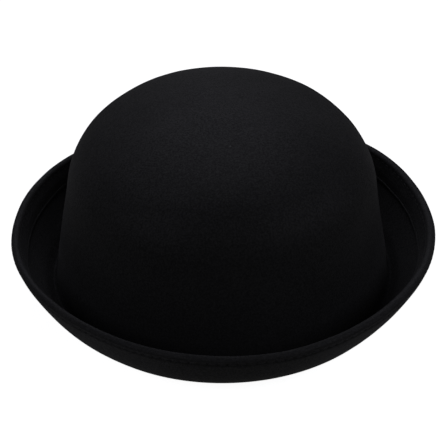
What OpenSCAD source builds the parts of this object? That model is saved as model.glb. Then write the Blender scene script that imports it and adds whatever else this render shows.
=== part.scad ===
// Roll-brim bowler hat, blocked from one piece of black wool felt. Millimetres, +Z up, front towards -Y.
// The origin is under the middle of the crown, on the surface that the hat stands on.
// Every cross-section is drawn as [u, z]: u is the distance outwards from the crown's base oval.
// The oval is four tangent arcs, so a cross-section carried around it keeps its thickness everywhere.

/* [Crown] */
// Radius of the base oval's two sides, outside the felt
oval_side_radius = 107; // [104:1:112]
// Radius of the base oval's front and back ends, outside the felt
oval_end_radius = 77; // [74:1:80]
// Height of the crown above the surface that the hat stands on
crown_height = 104; // [98:1:110]
// Outside radius of the shoulder between the wall and the domed top
shoulder_radius = 36; // [32:1:42]
// Outside radius of the domed top
top_radius = 126; // [115:1:140]
// Inward lean of the wall from upright, in degrees
wall_lean = 7; // [5:0.5:8]
// Inward lean of the wall where it flares at its base, in degrees
base_lean = 11; // [9:0.5:13]
// Height of the flare at the wall's base
flare_height = 20; // [14:1:24]

/* [Brim] */
// Radius of the middle of the felt in the fold between the crown and the brim
fold_radius = 4; // [3.5:0.1:5]
// Slope of the brim where it leaves the fold, in degrees
brim_slope_low = 38.5; // [34:0.5:43]
// Slope of the brim at its rim, in degrees
brim_slope_high = 67.5; // [63:0.5:72]
// Length of the brim's curve from the fold to the middle of the rim
brim_run = 30.5; // [28:0.5:34]
// Depth that the felt yields where the hat rests on its fold
rest_flat_depth = 0.15; // [0.1:0.05:0.3]

/* [Felt and hem] */
// Thickness of the felt
felt_thickness = 2.2; // [1.8:0.1:2.4]
// Depth of the turned-in hem, from the rim's edge to the cut edge
hem_depth = 13; // [10:0.5:16]
// Gap between the hem and the brim that it is folded onto
hem_gap = 0.15; // [0.1:0.05:0.3]
// Distance of the stitch row below the rim's edge
stitch_row_depth = 3; // [3:0.5:7]
// Depth that the stitches pull into the felt
stitch_groove_depth = 0.4; // [0.3:0.05:0.5]
// Half-width of the groove that the stitches pull
stitch_groove_half_width = 0.5; // [0.4:0.05:0.7]
// Diameter of the hem's sewing thread
hem_thread_diameter = 0.5; // [0.3:0.05:0.5]

/* [Rim wire] */
// Diameter of the spring wire in the rim
wire_diameter = 1.2; // [1:0.1:1.4]
// Clearance between the wire and the felt around it
wire_clearance = 0.15; // [0.1:0.05:0.2]
// Gap between the wire's two ends
wire_end_gap = 0.6; // [0.2:0.1:1]
// Length of the tube that joins the wire's ends
joiner_length = 14; // [10:1:20]
// Wall thickness of the joining tube
joiner_wall = 0.3; // [0.2:0.05:0.35]

/* [Sweatband] */
// Height of the grosgrain sweatband
band_height = 30; // [25:1:34]
// Thickness of the sweatband
band_thickness = 0.6; // [0.4:0.1:0.8]
// Gap between the sweatband and the felt
band_gap = 0.1; // [0.05:0.05:0.2]
// Length of the overlap of the sweatband's ends at the back
band_overlap = 12; // [8:1:16]
// Height of the sweatband's stitch row above its lower edge
band_row_height = 2.5; // [2:0.5:4]
// Diameter of the sweatband's sewing thread
band_thread_diameter = 0.4; // [0.3:0.05:0.5]
// Distance between the two upright stitch rows of the back seam
seam_row_spacing = 7; // [5:0.5:9]
// Height of the plain ribbon above and below the back seam's rows
seam_row_margin = 3; // [2:0.5:5]

/* [Care label] */
// Width of the blank folded label
label_width = 18; // [12:1:24]
// Height of the folded label
label_height = 22; // [16:1:26]
// Thickness of the folded label
label_thickness = 0.45; // [0.3:0.05:0.6]
// Height of the label's root above the sweatband's lower edge
label_root_height = 4; // [3.5:0.5:5]
// Distance of the label's middle from the back seam, around the band
label_offset = 19; // [17:1:30]
// Height of the label's stitch row above its root
label_row_height = 2; // [1.5:0.5:3]
// Diameter of the label's sewing thread
label_thread_diameter = 0.3; // [0.2:0.05:0.4]

/* [Hidden] */
$fn = 160;

// Small distance that keeps sewn pieces just clear of the cloth they lie on
skin = 0.03;
// Longer than any piece, for the shapes that clip
clip = 200;

// Base oval: the line through the centres of two arcs that meet rises 4 for every 3 across
join_direction = [3, 4] / 5;
join_angle = atan2(4, 3);
side_centre = (oval_side_radius - oval_end_radius) * join_direction[0];
end_centre = (oval_side_radius - oval_end_radius) * join_direction[1];
crown_half_width = oval_side_radius - side_centre;

// Direction at an angle from the u axis, and points along an arc
function direction(angle) = [cos(angle), sin(angle)];
function arc(centre, radius, from, to, steps) =
    [for (i = [0:steps]) centre + radius * direction(from + (to - from) * i / steps)];
function reversed(points) = [for (i = [len(points) - 1:-1:0]) points[i]];
function degrees_of(length, radius) = length / radius * 180 / PI;

// Fold between the crown's wall and the brim. Its under side is cut flat at z = 0.
fold_inner_radius = fold_radius - felt_thickness / 2;
fold_outer_radius = fold_radius + felt_thickness / 2;
fold_centre = [fold_inner_radius * cos(base_lean), fold_outer_radius - rest_flat_depth];
flat_half_angle = acos(fold_centre[1] / fold_outer_radius);

// Crown: a flare at the base, a straight leaning wall, a shoulder arc and a top arc
wall_base = fold_centre - fold_inner_radius * direction(base_lean);
flare_radius = flare_height / (sin(base_lean) - sin(wall_lean));
flare_centre = wall_base + flare_radius * direction(base_lean);
flare_length = flare_radius * (base_lean - wall_lean) * PI / 180;
wall_foot = flare_centre - flare_radius * direction(wall_lean);
wall_up = direction(90 + wall_lean);
top_centre = [-crown_half_width, crown_height - top_radius];
top_half_angle = asin((direction(wall_lean) * (wall_foot - top_centre) - shoulder_radius)
               / (top_radius - shoulder_radius)) - wall_lean;
shoulder_centre = top_centre + (top_radius - shoulder_radius) * direction(90 - top_half_angle);

// The crown's line from its base to the middle of its top, at a depth inside the outer surface
function crown_line(depth) = concat(
    arc(flare_centre, flare_radius + depth, 180 + base_lean, 180 + wall_lean, 3),
    arc(shoulder_centre, shoulder_radius - depth, wall_lean, 90 - top_half_angle, 14),
    [for (i = [1:7]) top_centre + (top_radius - depth) * direction(90 - top_half_angle * (1 - i / 7))]);

// A point of the crown's wall, at a distance up the wall from its base and a depth inside the outer surface
function wall_point(up, depth) = up < flare_length
    ? flare_centre + (flare_radius + depth) * direction(180 + base_lean - degrees_of(up, flare_radius))
    : wall_foot + (up - flare_length) * wall_up - depth * direction(wall_lean);
// A strip of cloth on the wall, between two heights and two depths
function wall_strip(low, high, near, far) = concat(
    [for (i = [0:8]) wall_point(low + (high - low) * i / 8, near)],
    [for (i = [8:-1:0]) wall_point(low + (high - low) * i / 8, far)]);

// Brim: one arc that steepens from the fold to the rim. The hem lies on its upper side.
brim_radius = brim_run / (brim_slope_high - brim_slope_low) * 180 / PI;
brim_centre = fold_centre - (brim_radius - fold_radius) * direction(270 + brim_slope_low);
brim_top_radius = brim_radius - felt_thickness / 2;
brim_under_radius = brim_radius + felt_thickness / 2;
hem_under_radius = brim_top_radius - hem_gap;
hem_top_radius = hem_under_radius - felt_thickness;
brim_start = 270 + brim_slope_low;
brim_end = 270 + brim_slope_high;
rim_radius = felt_thickness + hem_gap / 2;
rim_centre = brim_centre + (brim_top_radius - hem_gap / 2) * direction(brim_end);
hem_start = brim_end - degrees_of(hem_depth - rim_radius, brim_radius);
row_angle = brim_end - degrees_of(stitch_row_depth - rim_radius, brim_radius);
groove_half_angle = degrees_of(stitch_groove_half_width, brim_radius);

// Wire channel, at the end of the gap between the hem and the brim
channel_radius = wire_diameter / 2 + wire_clearance;
gap_half_angle = asin(hem_gap / 2 / channel_radius);
gap_end = brim_end - degrees_of(channel_radius, brim_radius);
joiner_radius = wire_diameter / 2 + skin + joiner_wall;
joiner_path_radius = oval_end_radius + rim_centre[0];

// Depths inside the crown's outer surface, from the sweatband inwards to the label's thread
band_near = felt_thickness + band_gap;
band_far = band_near + band_thickness;
overlap_far = band_far + band_thickness;
band_thread_depth = band_far + skin + band_thread_diameter / 2;
seam_thread_near = overlap_far + skin;
label_near = band_far + skin;
label_far = label_near + label_thickness;
label_thread_depth = label_far + skin + label_thread_diameter / 2;
band_path_radius = oval_end_radius - band_far;
overlap_angle = degrees_of(band_overlap, band_path_radius);
label_middle = 90 - degrees_of(label_offset, band_path_radius);
label_angle = degrees_of(label_width, band_path_radius);

// The felt's whole cross-section: down the crown, out along the brim, round the hem and back inside
felt_section = concat(
    reversed(crown_line(0)),
    arc(fold_centre, fold_inner_radius, 180 + base_lean, brim_start, 8),
    arc(brim_centre, brim_top_radius, brim_start, gap_end, 8),
    arc(rim_centre, channel_radius, brim_slope_high - 180 + gap_half_angle,
        brim_slope_high + 180 - gap_half_angle, 16),
    arc(brim_centre, hem_under_radius, gap_end, hem_start, 4),
    arc(brim_centre, hem_top_radius, hem_start, row_angle - groove_half_angle, 3),
    [brim_centre + (hem_top_radius + stitch_groove_depth) * direction(row_angle)],
    arc(brim_centre, hem_top_radius, row_angle + groove_half_angle, brim_end, 2),
    arc(rim_centre, rim_radius, brim_slope_high + 90, brim_slope_high - 90, 12),
    arc(brim_centre, brim_under_radius, brim_end, row_angle + groove_half_angle, 2),
    [brim_centre + (brim_under_radius - stitch_groove_depth) * direction(row_angle)],
    arc(brim_centre, brim_under_radius, row_angle - groove_half_angle, brim_start, 8),
    arc(fold_centre, fold_outer_radius, brim_start - 3, 270 + flat_half_angle, 4),
    arc(fold_centre, fold_outer_radius, 270 - flat_half_angle, 180 + base_lean + 3, 8),
    crown_line(felt_thickness));

// The shares of the plan that the arcs on the +X side and the +Y end cover
module side_share() {
    join_far = [0, end_centre] + clip * join_direction;
    linear_extrude(clip)
        polygon([[0, -end_centre], [join_far[0], -join_far[1]], [clip, -join_far[1]],
                 [clip, join_far[1]], join_far, [0, end_centre]]);
}
module end_share() {
    join_far = [0, end_centre] + clip * join_direction;
    linear_extrude(clip) polygon([[0, end_centre], join_far, [-join_far[0], join_far[1]]]);
}

// Carries a cross-section around the oval: two sides and two ends
module around_oval() {
    for (side = [0, 1])
        mirror([side, 0, 0]) intersection() {
            translate([-side_centre, 0, 0])
                rotate_extrude(angle = 180, start = -90) translate([oval_side_radius, 0]) children();
            side_share();
        }
    for (end = [0, 1])
        mirror([0, end, 0]) intersection() {
            translate([0, end_centre, 0])
                rotate_extrude(angle = 180, start = 0) translate([oval_end_radius, 0]) children();
            end_share();
        }
}

// The same, for a cross-section that reaches the middle of the crown's top
module over_the_top() {
    for (side = [0, 1])
        mirror([side, 0, 0]) intersection() {
            translate([-side_centre, 0, 0])
                rotate_extrude(angle = 2 * join_angle, start = -join_angle)
                    translate([oval_side_radius, 0]) children();
            translate([0, -clip, -clip]) cube(2 * clip);
        }
    for (end = [0, 1])
        mirror([0, end, 0]) translate([0, end_centre, 0])
            rotate_extrude(angle = 180 - 2 * join_angle, start = join_angle)
                intersection() {
                    translate([oval_end_radius, 0]) children();
                    translate([0, -clip]) square(2 * clip);
                }
}

// Carries a cross-section along a short stretch of the back end
module along_back(middle, sweep) {
    translate([0, end_centre, 0])
        rotate_extrude(angle = sweep, start = middle - sweep / 2)
            translate([oval_end_radius, 0]) children();
}

module felt_body() {
    color("#17181c") difference() {
        over_the_top() polygon(felt_section);
        along_back(90, degrees_of(joiner_length + 1, joiner_path_radius))
            translate(rim_centre) circle(joiner_radius + wire_clearance);
    }
}

module brim_wire() {
    color("#8d9094") difference() {
        around_oval() translate(rim_centre) circle(wire_diameter / 2);
        translate([-wire_end_gap / 2, 0, 0]) cube([wire_end_gap, clip, clip]);
    }
}

module wire_joiner() {
    color("#b08d4a")
        along_back(90, degrees_of(joiner_length, joiner_path_radius))
            translate(rim_centre) difference() {
                circle(joiner_radius);
                circle(joiner_radius - joiner_wall);
            }
}

// One row of the hem's stitches, lying in its groove
module hem_row(groove_radius) {
    around_oval() translate(brim_centre + groove_radius * direction(row_angle))
        circle(hem_thread_diameter / 2);
}

module hem_needle_thread() {
    color("#101114") hem_row(brim_under_radius);
}

module hem_bobbin_thread() {
    color("#101114") hem_row(hem_top_radius);
}

// The ribbon goes once around the head opening, and its ends overlap at the back
module sweatband() {
    color("#0e0f12") {
        around_oval() polygon(wall_strip(0, band_height, band_near, band_far));
        along_back(90, overlap_angle) polygon(wall_strip(0, band_height, band_far, overlap_far));
    }
}

// The row steps inwards where it crosses the overlap
module sweatband_thread() {
    color("#202226") {
        difference() {
            around_oval() translate(wall_point(band_row_height, band_thread_depth))
                circle(band_thread_diameter / 2);
            along_back(90, overlap_angle + 1)
                translate(wall_point(band_row_height, band_thread_depth)) circle(1);
        }
        along_back(90, overlap_angle)
            translate(wall_point(band_row_height, band_thread_depth + band_thickness))
                circle(band_thread_diameter / 2);
    }
}

module sweatband_seam_thread() {
    color("#202226")
        for (side = [-1, 1])
            along_back(90 + side * degrees_of(seam_row_spacing / 2, band_path_radius),
                       degrees_of(band_thread_diameter, band_path_radius))
                polygon(wall_strip(band_row_height + seam_row_margin, band_height - seam_row_margin,
                                   seam_thread_near, seam_thread_near + band_thread_diameter));
}

module care_label() {
    color("#d9d6cc")
        along_back(label_middle, label_angle)
            polygon(wall_strip(label_root_height, label_root_height + label_height, label_near, label_far));
}

module label_thread() {
    color("#202226")
        along_back(label_middle, label_angle * 0.9)
            translate(wall_point(label_root_height + label_row_height, label_thread_depth))
                circle(label_thread_diameter / 2);
}

felt_body();
brim_wire();
wire_joiner();
hem_needle_thread();
hem_bobbin_thread();
sweatband();
sweatband_thread();
sweatband_seam_thread();
care_label();
label_thread();
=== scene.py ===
"""Looks of a black wool felt bowler hat with a brim turned up all round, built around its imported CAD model.

Sizes are in millimetres and angles in degrees until a mesh is made, which is in metres. A cross-section
point is (u, z): u is the distance outside the oval that the crown stands on, and z is the height above the
table. Lamps, camera and textures are in metres."""

import math

import bpy
import numpy as np
from mathutils import Matrix, Vector, noise


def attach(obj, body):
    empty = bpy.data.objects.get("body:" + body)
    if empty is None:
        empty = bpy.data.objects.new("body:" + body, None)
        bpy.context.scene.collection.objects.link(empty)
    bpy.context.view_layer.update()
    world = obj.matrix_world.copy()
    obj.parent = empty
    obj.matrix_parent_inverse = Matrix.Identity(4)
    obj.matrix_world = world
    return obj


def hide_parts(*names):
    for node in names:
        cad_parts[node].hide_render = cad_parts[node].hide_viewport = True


MM = 0.001

# ---- Sizes that the CAD model has too ----
SIDE_RADIUS, SIDE_CENTRE = 107.0, 18.0  # the oval's side arcs, centred on the far side of the middle
END_RADIUS, END_CENTRE = 77.0, 24.0  # the oval's front and back arcs
JOIN_ANGLE = math.degrees(math.atan2(0.8, 0.6))  # where a side arc meets an end arc, from +X
HALF_WIDTH, HALF_LENGTH = SIDE_RADIUS - SIDE_CENTRE, END_RADIUS + END_CENTRE
FELT = 2.2
CROWN_HEIGHT, SHOULDER_RADIUS, TOP_RADIUS = 104.0, 36.0, 126.0
WALL_LEAN, BASE_LEAN, FLARE_HEIGHT = 7.0, 11.0, 20.0
FOLD_RADIUS, REST_FLAT_DEPTH = 4.0, 0.15
BRIM_SLOPE_LOW, BRIM_SLOPE_HIGH, BRIM_RUN = 38.5, 67.5, 30.5
HEM_DEPTH, HEM_GAP, ROW_DEPTH = 13.0, 0.15, 3.0
WIRE_RADIUS, WIRE_CLEARANCE, WIRE_END_GAP = 0.6, 0.15, 0.6
JOINER_LENGTH, JOINER_WALL = 14.0, 0.3
HEM_THREAD_RADIUS = 0.25
BAND_HEIGHT, BAND_THICKNESS, BAND_GAP, BAND_OVERLAP = 30.0, 0.6, 0.1, 12.0
BAND_ROW_HEIGHT, BAND_THREAD_RADIUS = 2.5, 0.2
SEAM_SPACING, SEAM_MARGIN = 7.0, 3.0
LABEL_WIDTH, LABEL_HEIGHT, LABEL_ROOT, LABEL_OFFSET, LABEL_ROW = 18.0, 22.0, 4.0, 19.0, 2.0
LABEL_THREAD_RADIUS = 0.15
SKIN = 0.03

# ---- Shape of the felt, as blocked and worn ----
# Slow waves around the hat: (how many, their size, angle of the first crest). These numbers come from a
# least-squares fit to the photo's outline, rounded to 0.1 mm and to whole degrees.
RIM_UP_WAVES = ((0, 0.2, 0), (1, 0.6, -38), (2, 1.0, -10), (3, 1.3, 36), (4, 0.4, -28))
RIM_OUT_WAVES = ((0, 0.7, 0), (1, 1.0, 17), (2, 1.0, -78), (3, 0.7, 45), (4, 0.3, 12), (5, 0.7, -25))
BELLY_OUT_WAVES = ((0, -0.3, 0), (1, 0.3, -142), (2, 1.5, 82))  # halfway up the brim
CROWN_OUT_WAVES = ((0, 0.5, 0), (1, 0.5, -66), (2, 0.8, 4), (3, 0.9, -34), (4, 1.0, -44))
WALL_SWELL, WALL_SHIFT = 1.2, -0.7  # how far the foot of the crown's wall stands out, and sits to one side
SLOW_WAVER, QUICK_WAVER = (46, 0.5), (15, 0.13)  # an irregular waver on top: its length and size
WAVER_START = (3.1, 7.7, 1.3)  # where in the noise the slow waver starts
WAVER_SEED = 1  # the best of six against the photo's outline; 0 would give another waver on each run
GROOVE_DEPTH, GROOVE_WIDTH = 0.42, 1.0  # the channel that the hem's stitches pull into the felt
HOLE_DEPTH, HOLE_WIDTH, HOLE_SHARE = 0.45, 1.3, 0.2  # the pucker where the needle went through
INNER_ROW = 0.25  # how much of that channel and pucker shows on the hem's own face
BEAD_SWELL = 0.12  # how far the felt swells over the wire
HEM_LIFT, HEM_PRESS = 0.05, 1.35  # how far the hem's cut edge stands off the brim, and is pressed thinner
HEM_WAVER = 0.35  # how far the hem's cut edge wanders
CREASE_RADIUS = 1.8  # of the trough's fold, which is pinched tighter than the felt's own curve
CREASE_SPREAD = 2.4  # how far the painted shade spreads on both sides of the trough's crease
# Where the hem's row ends over its start
TIE_OFF_ANGLE, TIE_OFF_WIDTH, TIE_OFF_DEPTH, TIE_OFF_SPREAD = -73.0, 3.6, 0.45, 0.9
DOME_BLEND = (20.0, 70.0)  # depths between which the rings turn from offset ovals into scaled ones

# ---- Fineness of the felt's mesh ----
BRIM_COLUMNS, CROWN_COLUMNS = 640, 320
OUTER_STEP, OUTER_SPACING = 2.0, 1.15  # between rings of the crown's outside, and between a ring's points
INNER_STEP, INNER_SPACING = 3.0, 2.0
# Distances past the row of stitches at which the hem and the brim's under face have a ring
RING_RUNS = (11.5, 10.5, 9.6, 8.5, 7.4, 6.3, 5.3, 4.4, 3.6, 2.9, 2.3, 1.8, 1.4, 1.05, 0.75, 0.5, 0.25, 0)

# ---- Stitches, ribbon and label ----
STITCH_ARCH = 0.4  # the lower, the squarer a stitch's arch between its two holes
HEM_STITCHES, HEM_DIVE = 160, 0.95  # how many, and how deep their threads dive into the felt
# How far the needle thread's middle is above its channel, and the bobbin thread's is below its own
THREAD_RISE = 0.1
BAND_STITCHES, SEAM_STITCHES, BAND_DIVE, BAND_ARCH = 170, 8, 0.45, 0.6
BAND_COLUMNS, BAND_BEVEL = 700, 0.12
BAND_RIPPLES, BAND_RIPPLE = 23, 0.05
LABEL_STITCHES, LABEL_DIVE, LABEL_ARCH = 6, 0.1, 0.55
LABEL_THICKNESS, LABEL_COLUMNS, LABEL_CURL, LABEL_BELLY = 0.16, 25, 0.25, 0.9
LABEL_FOLD_RADIUS = 0.3
LABEL_LINE_SPACING = 1.4  # from one line of points to the next in the label's texture

# ---- Colours and textures ----
GRAIN_SCALE = 1050.0  # about a millimetre from one tuft of fibres to the next
# The last three colours are painted light: painted shade for the trough's crease; a paler cut edge, partly
# its cut fibres and partly a painted highlight; and a painted highlight for the rim.
FELT_DARK, FELT_PALE, FELT_CREASE_SHADE, FELT_CUT_EDGE_AND_HIGHLIGHT, FELT_RIM_HIGHLIGHT = 0.0126, 0.0137, 0.004, 0.03, 0.0195
LINT_LEVEL = 0.1
LINT = (((-25, -50, 94.5), 0.45), ((2, -38, 99.5), 0.45), ((-70, -15, 82), 0.5), ((48, 40, 93), 0.4),
        ((-36, -68, 84.5), 0.3), ((60, -62, 52), 0.3))  # specks on the crown: where, and how big
# Lengths of the fine patterns, in metres
THREAD_TWIST, RIBBON_RIB, RIBBON_WARP, SATIN_WEFT, SATIN_FLOAT = 0.0009, 0.00085, 0.0003, 0.00035, 0.0006

# ---- Camera, lamps and surroundings, in metres, but for the lens and the sensor ----
# The camera's values come from a fit to the photo's outline. The lamps and the world's light started from
# a fit to its levels, and were then adjusted.
AIM = Vector((0.00093, 0.0, 0.03035))
CAMERA_DISTANCE, CAMERA_AZIMUTH, CAMERA_ELEVATION, CAMERA_ROLL = 1.3295, -4.7, 31.08, -1.36
CAMERA_LENS, SENSOR_WIDTH, CLIP_RANGE = 198.5, 36.0, (0.05, 60.0)
FLOOR_SIZE, FLOOR_GLOW, DOME_RADIUS = 30, 0.95, 14
ZENITH, HORIZON, BOUNCE = 0.0, 0.036, 0.053  # strength of the world's light from above, the side and below
WORLD_TINT = (1, 0.995, 1, 1)
COOL_TINT, PALE_TINT = (0.88, 0.878, 1.0), (0.96, 0.96, 1.0)
SOFTBOX_DISTANCE = 1.8
# Each softbox: azimuth, elevation, width and height, power and colour
SOFTBOXES = {"back_softbox": (180, 52, (1.0, 1.2), 4.0, COOL_TINT),
             "right_softbox": (66, 33, (1.0, 0.9), 3.2, COOL_TINT),
             "left_softbox": (297, 34, (1.0, 0.9), 2.75, COOL_TINT),
             "front_softbox": (5, 36, (1.9, 1.3), 1.12, PALE_TINT)}


def smoothstep(x, low, high):
    t = np.clip((np.asarray(x, float) - low) / (high - low), 0, 1)
    return t * t * (3 - 2 * t)


def direction(angle):
    return np.stack([np.cos(np.radians(angle)), np.sin(np.radians(angle))], -1)


def degrees_of(length, radius):
    return math.degrees(length / radius)


# ---- Cross-section, worked out from the sizes ----
fold_inner, fold_outer = FOLD_RADIUS - FELT / 2, FOLD_RADIUS + FELT / 2
fold_centre = np.array([fold_inner * math.cos(math.radians(BASE_LEAN)), fold_outer - REST_FLAT_DEPTH])
flat_half_angle = math.degrees(math.acos(fold_centre[1] / fold_outer))
wall_base = fold_centre - fold_inner * direction(BASE_LEAN)
flare_radius = FLARE_HEIGHT / (math.sin(math.radians(BASE_LEAN)) - math.sin(math.radians(WALL_LEAN)))
flare_centre = wall_base + flare_radius * direction(BASE_LEAN)
flare_length = flare_radius * math.radians(BASE_LEAN - WALL_LEAN)
wall_foot = flare_centre - flare_radius * direction(WALL_LEAN)
wall_up = direction(90 + WALL_LEAN)
top_centre = np.array([-HALF_WIDTH, CROWN_HEIGHT - TOP_RADIUS])
top_half_angle = math.degrees(math.asin(
    (direction(WALL_LEAN) @ (wall_foot - top_centre) - SHOULDER_RADIUS) / (TOP_RADIUS - SHOULDER_RADIUS)
)) - WALL_LEAN
shoulder_centre = top_centre + (TOP_RADIUS - SHOULDER_RADIUS) * direction(90 - top_half_angle)
brim_radius = BRIM_RUN / math.radians(BRIM_SLOPE_HIGH - BRIM_SLOPE_LOW)
brim_centre = fold_centre - (brim_radius - FOLD_RADIUS) * direction(270 + BRIM_SLOPE_LOW)
brim_top_radius, brim_under_radius = brim_radius - FELT / 2, brim_radius + FELT / 2
hem_under_radius = brim_top_radius - HEM_GAP
hem_top_radius = hem_under_radius - FELT
brim_start, brim_end = 270 + BRIM_SLOPE_LOW, 270 + BRIM_SLOPE_HIGH
rim_radius = FELT + HEM_GAP / 2
rim_centre = brim_centre + (brim_top_radius - HEM_GAP / 2) * direction(brim_end)
hem_start = brim_end - degrees_of(HEM_DEPTH - rim_radius, brim_radius)
row_run = ROW_DEPTH - rim_radius  # from the end of the brim's arc down to the row of stitches
channel_radius = WIRE_RADIUS + WIRE_CLEARANCE
gap_half_angle = math.degrees(math.asin(HEM_GAP / 2 / channel_radius))
gap_end = brim_end - degrees_of(channel_radius, brim_radius)
band_near = FELT + BAND_GAP
band_far = band_near + BAND_THICKNESS
label_near = band_far + SKIN
band_girth = 2 * math.pi * ((HALF_WIDTH + HALF_LENGTH) / 2 - band_far)


def arc(centre, radius, start, end, steps):
    """Points along an arc, both ends among them."""
    return [centre + radius * direction(a) for a in np.linspace(start, end, steps + 1)]


def wall_point(up, depth):
    """A point of the crown's wall, at a distance up from its base and a depth inside the outer surface."""
    if up < flare_length:
        lean = BASE_LEAN - degrees_of(up, flare_radius)
        return flare_centre + (flare_radius + depth) * direction(180 + lean)
    return wall_foot + (up - flare_length) * wall_up - depth * direction(WALL_LEAN)


# ---- Plan: the oval, as angles of its outward normal ----
def oval_point(angle, u):
    """The point at distance u outside the oval whose outward normal has this angle."""
    a = (np.asarray(angle, float) + 180) % 360 - 180
    end = (np.abs(a) > JOIN_ANGLE) & (np.abs(a) < 180 - JOIN_ANGLE)
    centre_x = np.where(end, 0, np.where(np.abs(a) < 90, -SIDE_CENTRE, SIDE_CENTRE))
    centre_y = np.where(end, np.sign(a) * END_CENTRE, 0)
    radius = np.where(end, END_RADIUS, SIDE_RADIUS) + u
    return centre_x + radius * np.cos(np.radians(a)), centre_y + radius * np.sin(np.radians(a))


def even_angles(u):
    """A function from a share of the way round, from the back, to the normal's angle, even along the oval."""
    angles = np.linspace(90, 450, 7201)
    x, y = oval_point(angles, u)
    run = np.concatenate([[0], np.cumsum(np.hypot(np.diff(x), np.diff(y)))])
    return lambda share: np.interp(np.asarray(share, float) % 1, run / run[-1], angles)


ROUND = even_angles(10.0)


def place(angle, u, z):
    """Points in space. Deep inside the oval the rings change to scaled copies of it, for one round dome."""
    angle, u, z = np.broadcast_arrays(np.asarray(angle, float), np.asarray(u, float), np.asarray(z, float))
    x, y = oval_point(angle, u)
    base_x, base_y = oval_point(angle, 0)
    scale = 1 + u / HALF_WIDTH
    share = smoothstep(-u, *DOME_BLEND)
    return np.stack([x + (base_x * scale - x) * share, y + (base_y * scale - y) * share, z], -1)


def wave_sum(turn, waves):
    """The height of waves around the hat, added up, at an angle in radians."""
    return sum(size * np.cos(count * (turn - math.radians(crest))) for count, size, crest in waves)


def unevenness(points):
    """The waver of hand-blocked felt: a smooth shift of every point, and slow waves around rim and crown."""
    (slow_length, slow_size), (quick_length, quick_size) = SLOW_WAVER, QUICK_WAVER
    shifts = np.empty_like(points)
    for i, p in enumerate(points):
        v = Vector(p)
        slow = noise.noise_vector(v / slow_length + Vector(WAVER_START))
        quick = noise.noise_vector(v / quick_length)
        shifts[i] = slow_size * slow + quick_size * quick
    x, y, z = points.T
    radial = np.hypot(x, y)
    oval_radius = radial / np.maximum(np.hypot(x / HALF_WIDTH, y / HALF_LENGTH), 1e-6)
    reach = smoothstep(radial - oval_radius, 3, 24)  # 0 on the crown, 1 at the rim
    free = smoothstep(z, 2, 14)  # 0 where the hat stands on the table
    moved = points + shifts * free[:, None]
    turn = np.arctan2(y, x)
    out = wave_sum(turn, RIM_OUT_WAVES) * reach + wave_sum(turn, BELLY_OUT_WAVES) * 4 * reach * (1 - reach)
    out += wave_sum(turn, CROWN_OUT_WAVES) * (1 - reach) * smoothstep(z, 20, 75) * smoothstep(radial, 0, 40)
    out += WALL_SWELL * (1 - reach) * smoothstep(z, 0, 18) * (1 - smoothstep(z, 20, 62))
    moved[:, 0] += out * np.cos(turn) + WALL_SHIFT * (1 - reach) * (1 - smoothstep(z, 30, 75))
    moved[:, 1] += out * np.sin(turn)
    moved[:, 2] += wave_sum(turn, RIM_UP_WAVES) * reach
    return moved


def shaped(points):
    """Points in an array of any shape, with the felt's unevenness."""
    flat = np.asarray(points, float).reshape(-1, 3)
    return unevenness(flat).reshape(np.shape(points))


# ---- Meshes ----
def make_object(name, points, faces, material, coordinates=None):
    """A smooth-shaded mesh object from points in millimetres."""
    mesh = bpy.data.meshes.new(name)
    mesh.from_pydata((np.asarray(points) * MM).tolist(), [], faces)
    mesh.polygons.foreach_set("use_smooth", [True] * len(mesh.polygons))
    if coordinates is not None:
        layer = mesh.attributes.new("along", "FLOAT_VECTOR", "POINT")
        layer.data.foreach_set("vector", (np.asarray(coordinates) * MM).ravel().astype(np.float32))
    mesh.validate()
    mesh.update()
    piece = bpy.data.objects.new(name, mesh)
    bpy.context.scene.collection.objects.link(piece)
    mesh.materials.append(material)
    return piece


def finish_piece(piece, slot, *nodes):
    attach(piece, "root")
    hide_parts(*nodes)
    return piece


def ring_faces(first, second, first_at, second_at):
    """Faces between two closed rings with as many points, or with half or twice as many."""
    if first == second:
        return [(first_at + i, first_at + (i + 1) % first, second_at + (i + 1) % second, second_at + i)
                for i in range(first)]
    faces = []
    fine, coarse, turned = max(first, second), min(first, second), first < second
    fine_at, coarse_at = (second_at, first_at) if turned else (first_at, second_at)
    for i in range(coarse):
        a, b, c = (fine_at + (2 * i + k) % fine for k in range(3))
        d, e = coarse_at + i, coarse_at + (i + 1) % coarse
        for face in ((a, b, d), (b, e, d), (b, c, e)):
            faces.append(face[::-1] if turned else face)
    return faces


def skin_of_rings(rings):
    """Points and faces of the surface through closed rings, shut at both ends by a fan to the middle."""
    starts = np.concatenate([[0], np.cumsum([len(r) for r in rings])]).astype(int).tolist()
    faces = []
    for i in range(len(rings) - 1):
        faces += ring_faces(len(rings[i]), len(rings[i + 1]), starts[i], starts[i + 1])
    points = np.concatenate(rings + [rings[0].mean(0)[None], rings[-1].mean(0)[None]])
    first, last, low, high = len(rings[0]), len(rings[-1]), len(points) - 2, len(points) - 1
    faces += [(low, (i + 1) % first, i) for i in range(first)]
    faces += [(high, starts[-2] + i, starts[-2] + (i + 1) % last) for i in range(last)]
    return points, faces


def strip_faces(rows, columns, closed_columns=False):
    """Quads of a grid of points whose last row joins its first, and whose columns may do so too."""
    faces = []
    for r in range(rows):
        for c in range(columns if closed_columns else columns - 1):
            r1, c1 = (r + 1) % rows, (c + 1) % columns
            faces.append((r * columns + c, r * columns + c1, r1 * columns + c1, r1 * columns + c))
    return faces


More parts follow.
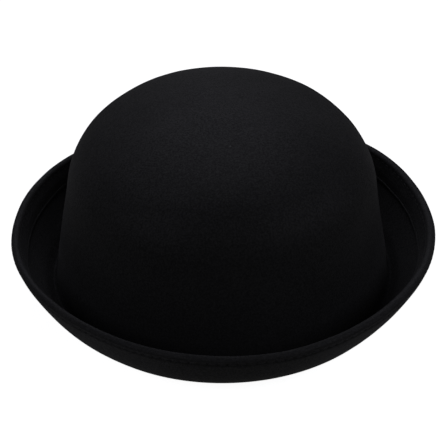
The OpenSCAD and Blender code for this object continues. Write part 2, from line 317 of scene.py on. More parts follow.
def tube(path, outward, radius, sides, closed):
    """Points, faces and coordinates of a round thread or wire along a path, given its outward direction."""
    path, outward = np.asarray(path, float), np.asarray(outward, float)
    ahead = np.roll(path, -1, 0) - np.roll(path, 1, 0)
    if not closed:
        ahead[0], ahead[-1] = path[1] - path[0], path[-1] - path[-2]
    ahead /= np.linalg.norm(ahead, axis=1)[:, None]
    across = np.cross(ahead, outward)
    across /= np.linalg.norm(across, axis=1)[:, None]
    up = np.cross(across, ahead)
    steps = np.linalg.norm(np.diff(path, axis=0), axis=1)
    run = np.concatenate([[0], np.cumsum(steps)])
    rings, along = [], []
    for k in range(sides):
        turn = 2 * math.pi * k / sides
        rings.append(path + radius * (math.cos(turn) * across + math.sin(turn) * up))
        along.append(np.stack([run, np.full_like(run, turn * radius), np.zeros_like(run)], -1))
    count = len(path)
    faces = strip_faces(sides, count, closed)
    points, coordinates = np.concatenate(rings), np.concatenate(along)
    if not closed:
        faces += [tuple(k * count for k in range(sides)),
                  tuple(k * count + count - 1 for k in reversed(range(sides)))]
    return points, faces, coordinates


def joined(parts):
    """Several (points, faces, coordinates) as one."""
    points, faces, coordinates, at = [], [], [], 0
    for p, f, c in parts:
        points.append(p)
        coordinates.append(c)
        faces += [tuple(i + at for i in face) for face in f]
        at += len(p)
    return np.concatenate(points), faces, np.concatenate(coordinates)


# ---- Felt body ----
def row_profile(side, run, angle, holes):
    """How far the felt's face moves outwards beside the hem's stitches, at a distance run down from the end
    of the brim's arc: a bead over the wire, a channel, and a pucker at each needle hole."""
    from_row = run - row_run
    channel = GROOVE_DEPTH * np.exp(-((from_row / GROOVE_WIDTH) ** 2))
    pucker = HOLE_DEPTH * holes * np.exp(-((from_row / HOLE_WIDTH) ** 2))
    bead = BEAD_SWELL * (1 - smoothstep(run, -1, row_run))
    from_tie_off = (angle - TIE_OFF_ANGLE + 180) % 360 - 180
    tie_off = TIE_OFF_DEPTH * np.exp(-((from_tie_off / TIE_OFF_WIDTH) ** 2))
    pulled = channel + pucker + tie_off * np.exp(-((from_row / TIE_OFF_SPREAD) ** 2))
    return bead - pulled * (1 if side > 0 else INNER_ROW)


def needle_holes(share):
    """1 at each needle hole of the hem's row, falling to 0 between them."""
    distance = np.abs((np.asarray(share) * HEM_STITCHES + 0.5) % 1 - 0.5)
    return np.exp(-((distance / HOLE_SHARE) ** 2))


def brim_face_point(side, run, rise):
    """A point of the brim's under face (side 1) or of the hem's face (side -1): run is the distance down from
    the end of the brim's arc, less than 0 on the rim's turn, and rise the distance outside the face."""
    run, rise = np.broadcast_arrays(np.asarray(run, float), np.asarray(rise, float))
    radius = brim_under_radius + rise if side > 0 else hem_top_radius - rise
    below = brim_centre + radius[..., None] * direction(brim_end - np.degrees(run / brim_radius))
    turn = BRIM_SLOPE_HIGH - side * (90 - np.degrees(np.maximum(-run, 0) / rim_radius))
    around = rim_centre + (rim_radius + rise)[..., None] * direction(turn)
    return np.where((run < 0)[..., None], around, below)


def hem_edge_waver(angle):
    """How far the hem's cut edge wanders, as a smooth function that closes around the hat."""
    a = np.radians(angle)
    return HEM_WAVER * (0.45 * np.sin(3 * a + 1.1) + 0.3 * np.sin(7 * a + 0.4) + 0.25 * np.sin(16 * a + 2.0)
                        + 0.18 * np.sin(41 * a))


def felt_rings():
    """The felt's closed surface as rings: down the crown, out along the brim, round the hem and back inside.
    Each ring comes with its painted light marks: how much painted shade it gets in the trough's crease,
    how near it is to the cut edge, which is paler for its cut fibres and as a painted highlight, and how
    much painted highlight the rim gets there."""
    rings, painted_light_marks = [], []

    def ring(count, u, z, crease_shade=0.0):
        rings.append(place(ROUND(np.arange(count) / count), u, z))
        painted_light_marks.append((crease_shade, 0.0, 0.0))

    def rings_of(count, line):
        for u, z in line:
            ring(count, u, z)

    def columns_for(depth, spacing):
        """Fewer columns as the rings get smaller, so that their points stay evenly apart."""
        count, perimeter = CROWN_COLUMNS, 2 * math.pi * (HALF_WIDTH - depth)
        while count > 10 and perimeter / count < spacing:
            count //= 2
        return count

    def crown(depth, step):
        """The cross-section of the crown at a depth inside the felt, from its base to its middle."""
        wall = [wall_point(up, depth) for up in np.arange(0, flare_length, step)]
        wall_end = shoulder_centre + (SHOULDER_RADIUS - depth) * direction(WALL_LEAN)
        start = wall_point(flare_length, depth)
        rise = np.linalg.norm(wall_end - start)
        wall += [start + (wall_end - start) * k for k in np.arange(0, 1, step / rise)]
        shoulder = arc(shoulder_centre, SHOULDER_RADIUS - depth, WALL_LEAN, 90 - top_half_angle,
                       round(SHOULDER_RADIUS * math.radians(90 - top_half_angle - WALL_LEAN) / step))
        steps = round(TOP_RADIUS * math.radians(top_half_angle) / step)
        top = [top_centre + (TOP_RADIUS - depth) * direction(90 - top_half_angle * (1 - k / steps))
               for k in range(1, steps)]
        return wall + shoulder + top

    def near_crease(distance):
        """How much painted shade the felt gets at a distance from the trough's crease."""
        return math.exp(-((distance / CREASE_SPREAD) ** 2))

    # The crown's outside, with painted shade on its rings near the trough's crease
    for u, z in reversed(crown(0, OUTER_STEP)):
        ring(columns_for(-u, OUTER_SPACING), u, z, near_crease(z - wall_point(0, 0)[1]))
    half_turn = (brim_start - 180 - BASE_LEAN) / 2
    to_crease = (fold_inner - CREASE_RADIUS) / math.cos(math.radians(half_turn))
    crease_centre = fold_centre + to_crease * direction(180 + BASE_LEAN + half_turn)
    # The crease's own rings get full painted shade
    for point in arc(crease_centre, CREASE_RADIUS, 180 + BASE_LEAN, brim_start, 8):
        ring(CROWN_COLUMNS, *point, 1.0)

    share = np.arange(BRIM_COLUMNS) / BRIM_COLUMNS
    angle = ROUND(share)
    holes = needle_holes(share)
    waver = hem_edge_waver(angle)
    edge_run = math.radians(brim_end - hem_start) * brim_radius + waver

    def face_ring(side, run, rise, every=1, cut=0.0):
        """A ring on the hem's face or the brim's under face, shaped by the stitches if it has no rise."""
        run = np.broadcast_to(run, angle.shape)
        if rise is None:
            rise = row_profile(side, run, angle, holes)
        point = brim_face_point(side, run, np.broadcast_to(rise, angle.shape))
        rings.append(place(angle, point[..., 0], point[..., 1])[::every])
        # painted highlight on the rim's turn, fading down towards the row of stitches
        rim_highlight = 1 - smoothstep(run.max(), -1.5, row_run)
        painted_light_marks.append((0.0, cut, float(rim_highlight) if every == 1 else 0.0))

    trough = arc(brim_centre, brim_top_radius, brim_start, hem_start, 14)[1:]
    trough += arc(brim_centre, brim_top_radius, hem_start, gap_end, 4)[1:]
    # The trough's rings near the crease get painted shade too
    for u, z in trough:
        ring(CROWN_COLUMNS, u, z, near_crease(math.dist((u, z), trough[0])))
    channel = arc(rim_centre, channel_radius, BRIM_SLOPE_HIGH - 180 + gap_half_angle,
                  BRIM_SLOPE_HIGH + 180 - gap_half_angle, 8)
    rings_of(CROWN_COLUMNS, channel)

    def lift(run):
        """The free part of the hem, past the stitches, stands a little off the brim."""
        uneven = 0.75 + 0.25 * np.sin(5 * np.radians(angle) + 0.8)
        return HEM_LIFT * uneven * smoothstep(run, row_run + 1, 12)

    def press(run):
        """How much thinner the hem gets towards its cut edge."""
        return HEM_PRESS * smoothstep(run, edge_run - 6, edge_run)

    hidden = -FELT  # the hem's hidden face, below its top face
    edge_top = lift(edge_run) - HEM_PRESS
    for k in np.linspace(0, 1, 6)[1:]:
        run = channel_radius + (edge_run - 0.25 - channel_radius) * k
        face_ring(-1, run, hidden + lift(run), BRIM_COLUMNS // CROWN_COLUMNS)
    # The rings at the cut edge are painted paler, partly for cut fibres and partly as a painted highlight
    face_ring(-1, edge_run - 0.05, hidden + 0.08 + lift(edge_run), cut=0.7)
    face_ring(-1, edge_run, (hidden + edge_top) / 2, cut=1.0)
    face_ring(-1, edge_run - 0.05, edge_top - 0.3, cut=1.0)
    face_ring(-1, edge_run - 0.2, edge_top - 0.1, cut=1.0)
    face_ring(-1, edge_run - 0.5, edge_top - 0.02, cut=0.6)
    for past in RING_RUNS:
        run = np.minimum(row_run + past, edge_run - 0.8 - 0.05 * past)
        face_ring(-1, run, row_profile(-1, run, angle, holes) + lift(run) - press(run))
    quarter = rim_radius * math.pi / 2
    for run in (0.5 * row_run, 0.0):
        face_ring(-1, run, None)
    for side, steps in ((-1, range(1, 7)), (1, range(7, 0, -1))):
        for k in steps:
            face_ring(side, -quarter * k / 7, None)
    for run in (0.0, 0.5 * row_run):
        face_ring(1, run, None)
    length = math.radians(brim_end - brim_start) * brim_radius
    for past in list(RING_RUNS[:1:-1]) + list(np.linspace(10.8, length - row_run, 12)):
        face_ring(1, row_run + past, None)

    inside_fold = arc(fold_centre, fold_outer, brim_start, 270 + flat_half_angle, 5)[1:]
    inside_fold += [np.array([fold_centre[0], 0.0])]
    inside_fold += arc(fold_centre, fold_outer, 270 - flat_half_angle, 180 + BASE_LEAN, 8)
    rings_of(CROWN_COLUMNS, inside_fold)
    for u, z in crown(FELT, INNER_STEP)[1:]:
        ring(columns_for(-u, INNER_SPACING), u, z)
    return rings, painted_light_marks


def build_felt(material):
    """The hat's one felt body, with its painted shade and highlight marks kept for the material."""
    rings, painted_light_marks = felt_rings()
    points, faces = skin_of_rings(rings)
    piece = make_object("felt_hat_body", shaped(points), faces, material)
    marks = np.zeros((len(points), 3), np.float32)
    marks[:-2] = np.repeat(painted_light_marks, [len(ring) for ring in rings], axis=0)
    piece.data.attributes.new("painted_light_marks", "FLOAT_VECTOR", "POINT").data.foreach_set("vector", marks.ravel())
    finish_piece(piece, "black_felt", "felt_body")


# ---- Paths of wires and threads ----
def round_path(shares, u, z):
    """A path around the hat at one cross-section point, and the direction outwards from the oval along it."""
    angle = ROUND(shares)
    path = shaped(place(angle, u, z))
    outward = np.concatenate([direction(angle), np.zeros((len(angle), 1))], 1)
    return path, outward


def on_wall(angle, up, depth):
    """Points inside the crown's wall, before the felt's unevenness."""
    up, depth = np.broadcast_arrays(np.asarray(up, float), np.asarray(depth, float))
    point = np.array([wall_point(u, d) for u, d in zip(up, depth)])
    return place(angle, point[:, 0], point[:, 1])


def wall_path(shares, up, depth):
    """A path inside the crown's wall, and the direction from it towards the middle of the hat."""
    angle = ROUND(shares)
    inward = np.concatenate([-direction(angle), np.zeros((len(angle), 1))], 1)
    return shaped(on_wall(angle, up, depth)), inward


def stitch_arch(count, samples):
    """The arch of each stitch, 0 at its holes and 1 halfway, at a number of samples in each stitch."""
    part = np.arange(count) % samples / samples
    return np.sin(math.pi * part) ** STITCH_ARCH


# ---- Wire in the rim ----
def build_wire(steel, brass):
    """A turn of spring wire whose ends nearly meet in a short tube at the back."""
    perimeter = 2 * math.pi * (HALF_WIDTH + HALF_LENGTH) / 2 + 2 * math.pi * rim_centre[0]
    half_gap = WIRE_END_GAP / 2 / perimeter
    path, outward = round_path(np.linspace(half_gap, 1 - half_gap, 481), *rim_centre)
    points, faces, along = tube(path, outward, WIRE_RADIUS, 12, False)
    finish_piece(make_object("rim_wire", points, faces, steel, along), "spring_steel", "brim_wire")

    half = JOINER_LENGTH / 2 / perimeter
    path, outward = round_path(np.linspace(-half, half, 15), *rim_centre)
    count, sides = len(path), 24
    outer = tube(path, outward, WIRE_RADIUS + SKIN + JOINER_WALL, sides, False)
    inner = tube(path, outward, WIRE_RADIUS + SKIN, sides, False)
    walls = list(outer[1][:-2])
    walls += [tuple(i + len(outer[0]) for i in reversed(face)) for face in inner[1][:-2]]
    for k in range(sides):
        a, b = k * count, (k + 1) % sides * count
        c, d = a + len(outer[0]), b + len(outer[0])
        walls += [(a, b, d, c), (a + count - 1, c + count - 1, d + count - 1, b + count - 1)]
    joiner = make_object("rim_wire_joiner", np.concatenate([outer[0], inner[0]]), walls, brass,
                         np.concatenate([outer[2], inner[2]]))
    finish_piece(joiner, "joiner_brass", "wire_joiner")


# ---- Stitches of the hem ----
def build_hem_row(name, side, node, material):
    """One side of the hem's lockstitch: a thread that lies in the channel and dives into each needle hole."""
    samples = 12
    share = np.arange(HEM_STITCHES * samples) / (HEM_STITCHES * samples)
    angle = ROUND(share)
    groove = GROOVE_DEPTH * (1 if side > 0 else INNER_ROW)
    middle = (THREAD_RISE if side > 0 else -THREAD_RISE) - groove
    rise = -HEM_DIVE + (HEM_DIVE + middle) * stitch_arch(len(share), samples)
    point = brim_face_point(side, np.full(len(share), row_run), rise)
    path = shaped(place(angle, point[:, 0], point[:, 1]))
    normal = side * direction(brim_end - degrees_of(row_run, brim_radius))
    outward = np.concatenate([direction(angle) * normal[0], np.full((len(angle), 1), normal[1])], 1)
    points, faces, along = tube(path, outward, HEM_THREAD_RADIUS, 8, True)
    finish_piece(make_object(name, points, faces, material, along), "black_thread", node)


# ---- Sweatband ----
def build_sweatband(ribbon, thread):
    """A grosgrain ribbon once around the head opening, its end lapped over its start at the back."""
    lap = BAND_OVERLAP / band_girth
    share = np.linspace(-lap / 2, 1 + lap / 2, BAND_COLUMNS)
    angle = ROUND(share)

    def on_lap(at):
        """1 where the ribbon's end lies over its start, before the back's middle."""
        return smoothstep(at, 1 - lap * 0.75, 1 - lap * 0.5)

    near = band_near + on_lap(share) * (BAND_THICKNESS + SKIN)
    ripple = BAND_RIPPLE * np.sin(share * 2 * math.pi * BAND_RIPPLES)
    rows, along = [], []

    def row(up, depth):
        rows.append(on_wall(angle, up, depth))
        along.append(np.stack([share * band_girth, np.full_like(share, up), np.zeros_like(share)], -1))

    heights = np.linspace(0, BAND_HEIGHT, 15)
    heights[0], heights[-1] = BAND_BEVEL, BAND_HEIGHT - BAND_BEVEL
    for up in heights:
        row(up, near)
    row(BAND_HEIGHT, near + BAND_THICKNESS / 2)
    for up in heights[::-1]:
        edge = up in (heights[0], heights[-1])
        row(up, near + BAND_THICKNESS + (0 if edge else ripple * math.sin(math.pi * up / BAND_HEIGHT)))
    row(0, near + BAND_THICKNESS / 2)
    count = len(rows)
    faces = strip_faces(count, BAND_COLUMNS)
    faces += [tuple(r * BAND_COLUMNS for r in range(count)),
              tuple(r * BAND_COLUMNS + BAND_COLUMNS - 1 for r in reversed(range(count)))]
    band = make_object("sweatband_ribbon", shaped(np.concatenate(rows)), faces, ribbon, np.concatenate(along))
    finish_piece(band, "black_grosgrain", "sweatband")

    samples = 10
    share = np.arange(BAND_STITCHES * samples) / (BAND_STITCHES * samples)
    lapped = np.maximum(on_lap(share), 1 - smoothstep(share, lap / 2, lap * 0.75))
    depth = band_far + SKIN + lapped * (BAND_THICKNESS + SKIN) - BAND_DIVE
    depth += BAND_ARCH * stitch_arch(len(share), samples)
    path, inward = wall_path(share, BAND_ROW_HEIGHT, depth)
    points, faces, along = tube(path, inward, BAND_THREAD_RADIUS, 6, True)
    stitches = make_object("sweatband_stitches", points, faces, thread, along)
    finish_piece(stitches, "black_thread", "sweatband_thread")

    seams = []
    up = np.linspace(BAND_ROW_HEIGHT + SEAM_MARGIN, BAND_HEIGHT - SEAM_MARGIN, SEAM_STITCHES * samples + 1)
    depth = band_far + BAND_THICKNESS + 2 * SKIN - BAND_DIVE + BAND_ARCH * stitch_arch(len(up), samples)
    for side in (-1, 1):
        path, inward = wall_path(np.full(len(up), side * SEAM_SPACING / 2 / band_girth), up, depth)
        seams.append(tube(path, inward, BAND_THREAD_RADIUS, 6, False))
    points, faces, along = joined(seams)
    seam = make_object("sweatband_seam_stitches", points, faces, thread, along)
    finish_piece(seam, "black_thread", "sweatband_seam_thread")


# ---- Care label ----
def label_line():
    """The strip from its back end up over the fold and down to its front end, as points along the middle of
    its thickness: (height above the root, depth, way through the strip)."""
    top = LABEL_HEIGHT - 0.5
    back, fold, front = LABEL_THICKNESS / 2, 0.38, 0.68
    line = [(up, back, (0, -1)) for up in np.linspace(0, top, 16)]
    for turn in np.radians(np.linspace(-90, 90, 9)[1:-1]):
        cos, sin = math.cos(turn), math.sin(turn)
        line.append((top + LABEL_FOLD_RADIUS * cos, fold + LABEL_FOLD_RADIUS * sin, (cos, sin)))
    for up in np.linspace(top, 0, 16):
        belly = LABEL_BELLY * math.sin(math.pi * min(up / top, 1)) ** 1.5 * (up > LABEL_ROW)
        line.append((up, front - 0.33 * (1 - min(up / 5, 1)) + belly, (0, 1)))
    return line


def build_label(satin, thread):
    """A blank strip of satin folded in two, its ends sewn to the sweatband and its fold standing up."""
    centre, half = -LABEL_OFFSET / band_girth, LABEL_WIDTH / 2 / band_girth
    angle = ROUND(np.linspace(centre - half, centre + half, LABEL_COLUMNS))
    across = np.linspace(-1, 1, LABEL_COLUMNS)
    rows, along, run = [], [], 0.0
    line = label_line()
    for face, ordered in ((-1, line), (1, line[::-1])):
        for up, depth, way in ordered:
            curl = LABEL_CURL * across ** 2 * smoothstep(up, 4, LABEL_HEIGHT)
            rise, out = (face * part * LABEL_THICKNESS / 2 for part in way)
            rows.append(on_wall(angle, LABEL_ROOT + up + rise, label_near + depth + curl + out))
            texture = (across * LABEL_WIDTH / 2, np.full_like(across, run), np.zeros_like(across))
            along.append(np.stack(texture, -1))
            run += LABEL_LINE_SPACING
    count = len(rows)
    faces = strip_faces(count, LABEL_COLUMNS)
    for edge in (0, LABEL_COLUMNS - 1):
        for r in range(count // 2 - 1):
            corners = (r, count - 1 - r, count - 2 - r, r + 1)
            quad = tuple(i * LABEL_COLUMNS + edge for i in corners)
            faces.append(quad if edge == 0 else quad[::-1])
    label = make_object("blank_care_label", shaped(np.concatenate(rows)), faces, satin, np.concatenate(along))
    finish_piece(label, "label_satin", "care_label")

    samples = 10
    share = np.linspace(centre - half * 0.9, centre + half * 0.9, LABEL_STITCHES * samples + 1)
    depth = label_near + LABEL_DIVE + LABEL_ARCH * stitch_arch(len(share), samples)
    path, inward = wall_path(share, LABEL_ROOT + LABEL_ROW, depth)
    points, faces, along = tube(path, inward, LABEL_THREAD_RADIUS, 6, False)
    row = make_object("label_stitches", points, faces, thread, along)
    finish_piece(row, "black_thread", "label_thread")


# ---- Materials ----
class Nodes:
    """A material or world node tree with short ways to add nodes and links."""

    def __init__(self, tree):
        self.tree = tree
        tree.nodes.clear()

    def add(self, kind, settings=None, **inputs):
        node = self.tree.nodes.new(kind)
        for key, value in (settings or {}).items():
            setattr(node, key, value)
        for key, value in inputs.items():
            self.set(node, key.replace("_", " "), value)
        return node

    def set(self, node, name, value):
        if isinstance(value, bpy.types.NodeSocket):
            self.tree.links.new(value, node.inputs[name])
        else:
            node.inputs[name].default_value = value

    def math(self, operation, *values):
        node = self.add("ShaderNodeMath", {"operation": operation})
        for i, value in enumerate(values):
            self.set(node, i, value)
        return node.outputs[0]

    def span(self, value, low, high, to_low=0.0, to_high=1.0):
        """The value spread smoothly from one range over another."""
        node = self.add("ShaderNodeMapRange", {"interpolation_type": "SMOOTHSTEP"}, Value=value)
        for name, number in (("From Min", low), ("From Max", high), ("To Min", to_low), ("To Max", to_high)):
            self.set(node, name, number)
        return node.outputs["Result"]

    def noise(self, where, scale, detail=2.0, roughness=0.5):
        node = self.add("ShaderNodeTexNoise", Vector=where, Scale=scale, Detail=detail, Roughness=roughness)
        return node.outputs["Fac"]

    def mix(self, share, first, second):
        """A colour between two, which are sockets 6 and 7 of the node in its colour form."""
        node = self.add("ShaderNodeMix", {"data_type": "RGBA"})
        for i, value in ((0, share), (6, first), (7, second)):
            self.set(node, i, value)
        return node.outputs[2]

    def bump(self, height, distance, strength=1.0, normal=None):
        node = self.add("ShaderNodeBump", Height=height, Distance=distance, Strength=strength)
        if normal is not None:
            self.set(node, "Normal", normal)
        return node.outputs["Normal"]


def new_material(name):
    material = bpy.data.materials.new(name)
    material.use_nodes = True
    return material, Nodes(material.node_tree)


def end_material(nodes, **inputs):
    shader = nodes.add("ShaderNodeBsdfPrincipled", None, **inputs)
    nodes.set(nodes.add("ShaderNodeOutputMaterial"), 0, shader.outputs[0])


def grey(level, cool=0.0):
    return (level, level, level * (1 + cool), 1.0)


def felt_material():
    """Black wool felt: matted fibres, a soft nap that catches light at a grazing angle, and a few specks of
    lint. Painted shade darkens it and dulls its shine in the trough's crease; its cut edge is paler, partly
    for its cut fibres and partly as a painted highlight; and a painted highlight makes its rim paler."""
    material, n = new_material("black_wool_felt")
    where = n.add("ShaderNodeTexCoord").outputs["Object"]
    marks = n.add("ShaderNodeAttribute", {"attribute_name": "painted_light_marks"}).outputs["Vector"]
    marks = n.add("ShaderNodeSeparateXYZ", None, Vector=marks)
    crease_shade, cut, rim_highlight = marks.outputs
    clumps = n.noise(where, 420, 3.0, 0.6)
    grain = n.noise(where, GRAIN_SCALE, 2.0, 0.6)
    fibres = n.noise(where, 2600, 2.0, 0.7)
    drift = n.noise(where, 28, 2.0)
    stretched = n.add("ShaderNodeMapping", None, Vector=where, Scale=(1.0, 1.0, 0.6)).outputs["Vector"]
    hairs = n.noise(stretched, 3400, 2.0, 0.75)
    tone = n.math("ADD", n.math("MULTIPLY", clumps, 0.15), n.math("MULTIPLY", grain, 0.75))
    tone = n.span(n.math("ADD", tone, n.math("MULTIPLY", drift, 0.1)), 0.34, 0.66)
    base = n.mix(tone, grey(FELT_DARK), grey(FELT_PALE))
    # painted shade: the felt is darkened in the trough's crease
    base = n.mix(crease_shade, base, grey(FELT_CREASE_SHADE))
    # the cut edge is paler, partly for its cut fibres and partly as a painted highlight
    base = n.mix(n.math("MULTIPLY", cut, 0.2), base, grey(FELT_CUT_EDGE_AND_HIGHLIGHT))
    # painted highlight: the rim's bead is paler
    base = n.mix(rim_highlight, base, grey(FELT_RIM_HIGHLIGHT))
    for spot, size in LINT:
        distance = n.add("ShaderNodeVectorMath", {"operation": "DISTANCE"})
        n.set(distance, 0, where)
        distance.inputs[1].default_value = [MM * value for value in spot]
        near = n.span(distance.outputs["Value"], 0.5 * MM * size, 1.1 * MM * size, 1.0, 0.0)
        base = n.mix(near, base, grey(LINT_LEVEL))
    normal = n.bump(clumps, 0.0005, 0.2)
    normal = n.bump(grain, 0.0002, 0.2, normal)
    normal = n.bump(n.math("ADD", fibres, hairs), 0.00022, 0.5, normal)
    shine = n.math("ADD", 0.095, n.math("MULTIPLY", tone, 0.17))
    # the painted shade in the crease also dulls the shine there
    shine = n.math("MULTIPLY", shine, n.math("SUBTRACT", 1.0, n.math("MULTIPLY", crease_shade, 0.6)))
    sheen = n.math("ADD", 0.07, n.math("MULTIPLY", tone, 0.07))
    end_material(n, Base_Color=base, Roughness=n.span(fibres, 0.3, 0.7, 0.44, 0.58), Normal=normal,
                 Specular_IOR_Level=shine, Sheen_Weight=sheen, Sheen_Roughness=0.6, Sheen_Tint=grey(0.98))
    return material


def thread_material():
    """Twisted black polyester thread, with a little more shine than the felt."""
    material, n = new_material("black_sewing_thread")
    along = n.add("ShaderNodeAttribute", {"attribute_name": "along"}).outputs["Vector"]
    parts = n.add("ShaderNodeSeparateXYZ", None, Vector=along)
    twist = n.math("ADD", parts.outputs[0], n.math("MULTIPLY", parts.outputs[1], 1.2))
    ply = n.math("SINE", n.math("MULTIPLY", twist, 2 * math.pi / THREAD_TWIST))
    fuzz = n.noise(n.add("ShaderNodeTexCoord").outputs["Object"], 5200, 2.0)
    base = n.mix(n.span(ply, -1, 1), grey(0.009, 0.04), grey(0.022, 0.04))
    normal = n.bump(n.math("ADD", ply, fuzz), 0.00006, 0.8)
    end_material(n, Base_Color=base, Roughness=0.48, Normal=normal, Sheen_Weight=0.2)
    return material


def grosgrain_material():
    """Black grosgrain: ribs across the ribbon's width, close-woven edges and a slight silky shine."""
    material, n = new_material("black_grosgrain_ribbon")
    along = n.add("ShaderNodeAttribute", {"attribute_name": "along"}).outputs["Vector"]
    parts = n.add("ShaderNodeSeparateXYZ", None, Vector=along)
    ribs = n.math("SINE", n.math("MULTIPLY", parts.outputs[0], 2 * math.pi / RIBBON_RIB))
    warp = n.math("SINE", n.math("MULTIPLY", parts.outputs[1], 2 * math.pi / RIBBON_WARP))
    lower_edge = n.span(parts.outputs[1], 0.0006, 0.0014, 1.0, 0.0)
    upper_edge = n.span(parts.outputs[1], 0.0286, 0.0294, 0.0, 1.0)
    edge = n.math("MAXIMUM", lower_edge, upper_edge)
    drift = n.noise(n.add("ShaderNodeTexCoord").outputs["Object"], 120, 3.0)
    base = n.mix(n.span(n.math("ADD", ribs, drift), -0.6, 1.5), grey(0.008, 0.05), grey(0.02, 0.05))
    relief = n.math("MULTIPLY", ribs, n.math("SUBTRACT", 1.0, edge))
    normal = n.bump(relief, 0.00012, 0.9)
    normal = n.bump(warp, 0.00003, 0.5, normal)
    end_material(n, Base_Color=base, Roughness=n.span(drift, 0.3, 0.7, 0.42, 0.58), Normal=normal,
                 Sheen_Weight=0.25, Sheen_Roughness=0.35)
    return material


def satin_material():
    """Undyed satin tape with a fine weave, for the blank label."""
    material, n = new_material("ivory_satin_tape")
    along = n.add("ShaderNodeAttribute", {"attribute_name": "along"}).outputs["Vector"]
    parts = n.add("ShaderNodeSeparateXYZ", None, Vector=along)
    weft = n.math("SINE", n.math("MULTIPLY", parts.outputs[0], 2 * math.pi / SATIN_WEFT))
    floats = n.math("SINE", n.math("MULTIPLY", parts.outputs[1], 2 * math.pi / SATIN_FLOAT))
    drift = n.noise(n.add("ShaderNodeTexCoord").outputs["Object"], 260, 3.0)
    base = n.mix(drift, (0.62, 0.60, 0.54, 1), (0.76, 0.74, 0.69, 1))
    normal = n.bump(n.math("MULTIPLY", weft, floats), 0.00004, 0.7)
    end_material(n, Base_Color=base, Roughness=n.span(drift, 0.3, 0.7, 0.3, 0.42), Normal=normal,
                 Sheen_Weight=0.3)
    return material


def metal_material(name, light, dark, roughness):
    """Drawn metal: fine scratches along its length and slightly darker patches of oxide."""
    material, n = new_material(name)
    along = n.add("ShaderNodeAttribute", {"attribute_name": "along"}).outputs["Vector"]
    drawn = n.add("ShaderNodeMapping", None, Vector=along, Scale=(0.04, 1.0, 1.0)).outputs["Vector"]
    scratches = n.noise(drawn, 9000, 3.0, 0.6)
    patches = n.noise(n.add("ShaderNodeTexCoord").outputs["Object"], 90, 3.0)
    base = n.mix(n.span(patches, 0.35, 0.7), light, dark)
    end_material(n, Base_Color=base, Metallic=1.0, Normal=n.bump(scratches, 0.00002, 0.6),
                 Roughness=n.span(scratches, 0.3, 0.7, roughness, roughness + 0.15))
    return material


# ---- Camera, floor and lights ----
def way_to(azimuth, elevation):
    """The direction from the hat to something around it. Azimuth 0 is in front and 90 at its +X side."""
    azimuth, elevation = math.radians(azimuth), math.radians(elevation)
    return Vector((math.sin(azimuth) * math.cos(elevation), -math.cos(azimuth) * math.cos(elevation),
                   math.sin(elevation)))


def add_camera():
    back = way_to(CAMERA_AZIMUTH, CAMERA_ELEVATION)
    camera = bpy.data.objects.new("camera", bpy.data.cameras.new("camera"))
    camera.data.lens = CAMERA_LENS
    camera.data.sensor_width = SENSOR_WIDTH
    camera.data.clip_start, camera.data.clip_end = CLIP_RANGE
    turn = (-back).to_track_quat("-Z", "Y").to_matrix().to_4x4()
    roll = Matrix.Rotation(math.radians(CAMERA_ROLL), 4, "Z")
    camera.matrix_world = Matrix.Translation(AIM + back * CAMERA_DISTANCE) @ turn @ roll
    bpy.context.scene.collection.objects.link(camera)
    bpy.context.scene.camera = camera


def add_softbox(name, azimuth, elevation, size, power, tint):
    """A softbox that faces the hat."""
    way = way_to(azimuth, elevation)
    light = bpy.data.lights.new(name, "AREA")
    light.shape = "RECTANGLE"
    light.size, light.size_y = size
    light.energy = power
    light.color = tint
    lamp = bpy.data.objects.new(name, light)
    lamp.location = way * SOFTBOX_DISTANCE
    lamp.visible_camera = False
    lamp.rotation_euler = way.to_track_quat("Z", "Y").to_euler()
    bpy.context.scene.collection.objects.link(lamp)


def seen_only_by_camera(obj):
    obj.visible_diffuse = obj.visible_glossy = obj.visible_transmission = False
    obj.visible_volume_scatter = obj.visible_shadow = False


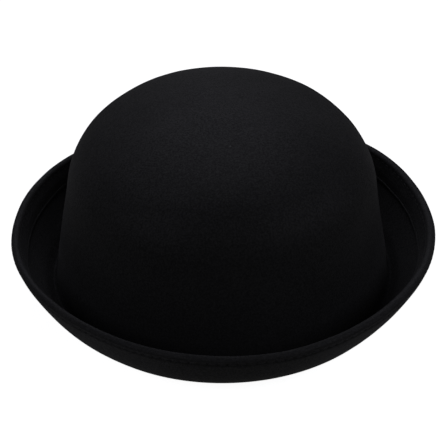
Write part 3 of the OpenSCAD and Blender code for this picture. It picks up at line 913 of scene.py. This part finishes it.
def add_stage():
    """A pale floor in a white dome. Neither lights the hat: the lamps and the world do."""
    material, n = new_material("pale_floor")
    diffuse = n.add("ShaderNodeBsdfDiffuse", None, Color=grey(0.85))
    glow = n.add("ShaderNodeEmission", None, Color=grey(1), Strength=FLOOR_GLOW)
    both = n.add("ShaderNodeAddShader")
    n.set(both, 0, diffuse.outputs[0])
    n.set(both, 1, glow.outputs[0])
    n.set(n.add("ShaderNodeOutputMaterial"), 0, both.outputs[0])
    bpy.ops.mesh.primitive_plane_add(size=FLOOR_SIZE)
    floor = bpy.context.object
    floor.name = "floor"
    floor.data.materials.append(material)
    white, n = new_material("white_dome")
    glow = n.add("ShaderNodeEmission", None, Color=grey(1), Strength=1.0)
    n.set(n.add("ShaderNodeOutputMaterial"), 0, glow.outputs[0])
    bpy.ops.mesh.primitive_uv_sphere_add(segments=48, ring_count=24, radius=DOME_RADIUS)
    dome = bpy.context.object
    dome.name = "dome"
    dome.data.materials.append(white)
    for part in (floor, dome):
        seen_only_by_camera(part)


def add_world():
    """Dim light from all round, strongest near the horizon and from below, as from pale walls and a table."""
    world = bpy.data.worlds.new("studio")
    bpy.context.scene.world = world
    world.use_nodes = True
    n = Nodes(world.node_tree)
    way = n.add("ShaderNodeTexCoord").outputs["Generated"]
    up = n.add("ShaderNodeSeparateXYZ", None, Vector=way).outputs[2]
    above = n.span(up, 0.0, 0.6, HORIZON, ZENITH)
    below = n.span(up, -0.35, 0.0, BOUNCE - HORIZON, 0.0)
    back = n.add("ShaderNodeBackground", None, Color=WORLD_TINT, Strength=n.math("ADD", above, below))
    n.set(n.add("ShaderNodeOutputWorld"), 0, back.outputs[0])


# ---- The scene ----
noise.seed_set(WAVER_SEED)
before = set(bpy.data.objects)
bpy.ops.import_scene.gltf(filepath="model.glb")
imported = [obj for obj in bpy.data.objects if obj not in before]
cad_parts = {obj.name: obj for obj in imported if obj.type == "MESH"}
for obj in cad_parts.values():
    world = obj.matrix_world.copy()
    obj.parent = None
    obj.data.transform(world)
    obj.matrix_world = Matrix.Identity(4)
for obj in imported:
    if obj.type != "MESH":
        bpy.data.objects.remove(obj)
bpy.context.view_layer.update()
bpy.context.scene.view_settings.view_transform = "Standard"
bpy.context.scene.view_settings.look = "None"

add_camera()
add_stage()
add_world()
for name, softbox in SOFTBOXES.items():
    add_softbox(name, *softbox)

felt = felt_material()
thread = thread_material()
steel = metal_material("drawn_spring_steel", (0.46, 0.47, 0.49, 1), (0.3, 0.3, 0.31, 1), 0.28)
brass = metal_material("drawn_brass", (0.72, 0.55, 0.27, 1), (0.5, 0.37, 0.18, 1), 0.3)

build_felt(felt)
build_wire(steel, brass)
build_hem_row("hem_needle_stitches", 1, "hem_needle_thread", thread)
build_hem_row("hem_bobbin_stitches", -1, "hem_bobbin_thread", thread)
build_sweatband(grosgrain_material(), thread)
build_label(satin_material(), thread)
